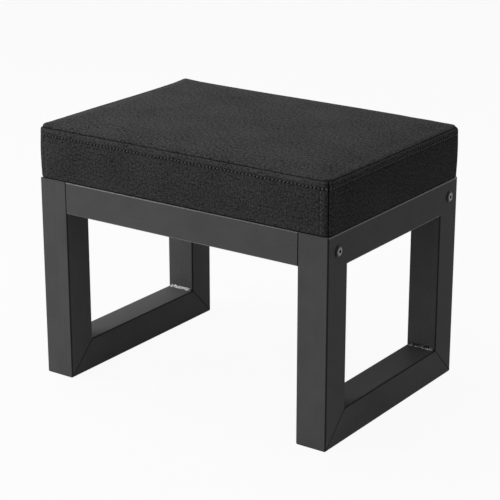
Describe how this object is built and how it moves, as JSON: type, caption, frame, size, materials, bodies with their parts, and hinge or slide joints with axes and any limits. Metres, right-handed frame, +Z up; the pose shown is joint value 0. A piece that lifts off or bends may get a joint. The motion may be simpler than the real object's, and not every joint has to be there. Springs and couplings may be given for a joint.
{
  "type": "shoe fitting stool",
  "caption": "Low shoe fitting stool: a boxed black upholstered seat on two closed end frames of matt black square tube, joined by two rails.",
  "frame": {"origin": "on the floor, under the middle of the stool", "axes": "+Z up, +X along the length from the left end frame to the right one, -Y to the front"},
  "size_m": [0.4148, 0.2918, 0.3235],
  "materials": {
    "frame_coat": "matt black powder coat on square steel tube",
    "weld_bead": "weld bead, thinly coated",
    "black_screw": "black oxide on steel screws",
    "plated_steel": "zinc plated",
    "plywood": "raw birch plywood",
    "underside_cloth": "thin black spunbond cloth",
    "foam": "cut upholstery foam",
    "upholstery": "brushed black upholstery fabric"
  },
  "bodies": {
    "root": {"left_front_leg": "frame_coat", "left_rear_leg": "frame_coat", "left_top_tube": "frame_coat", "left_bottom_tube": "frame_coat", "right_front_leg": "frame_coat", "right_rear_leg": "frame_coat", "right_top_tube": "frame_coat", "right_bottom_tube": "frame_coat", "front_rail": "frame_coat", "rear_rail": "frame_coat", "seat_tabs": "frame_coat", "left_frame_weld_beads": "weld_bead", "right_frame_weld_beads": "weld_bead", "front_rail_end_plates": "frame_coat", "rear_rail_end_plates": "frame_coat", "frame_screws": "black_screw", "seat_screws": "black_screw", "screw_sleeves": "plated_steel", "weld_nuts": "plated_steel", "tee_nuts": "plated_steel", "cover_staples": "plated_steel", "seat_board": "plywood", "underside_cloth": "underside_cloth", "seat_foam": "foam", "seat_top_panel": "upholstery", "front_band": "upholstery", "rear_band": "upholstery", "left_band": "upholstery", "right_band": "upholstery"}
  },
  "joints": []
}
